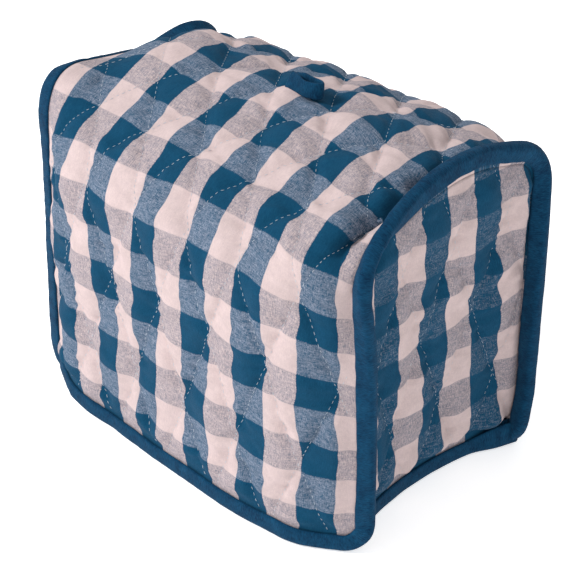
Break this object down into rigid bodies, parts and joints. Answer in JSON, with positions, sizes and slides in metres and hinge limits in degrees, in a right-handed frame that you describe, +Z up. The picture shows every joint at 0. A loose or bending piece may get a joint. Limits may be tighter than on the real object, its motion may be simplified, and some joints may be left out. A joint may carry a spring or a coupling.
{
  "type": "toaster cover",
  "caption": "Quilted cotton toaster cover, an open-bottomed box with bound flanges, bound hems and a small hanging loop on top.",
  "frame": {"origin": "on the surface that the hem stands on, under the middle of the cover", "axes": "+X along the cover, towards the end whose flange turns back; front wall towards -Y; +Z up"},
  "size_m": [0.3162, 0.2401, 0.2547],
  "materials": {
    "quilted_gingham": "matte woven cotton, quilted",
    "bias_binding": "matte woven cotton"
  },
  "bodies": {
    "root": {"body_panel": "quilted_gingham", "end_panel_right": "quilted_gingham", "end_panel_left": "quilted_gingham", "edge_binding": "bias_binding", "end_hem_binding_right": "bias_binding", "end_hem_binding_left": "bias_binding", "top_loop": "bias_binding"}
  },
  "joints": []
}
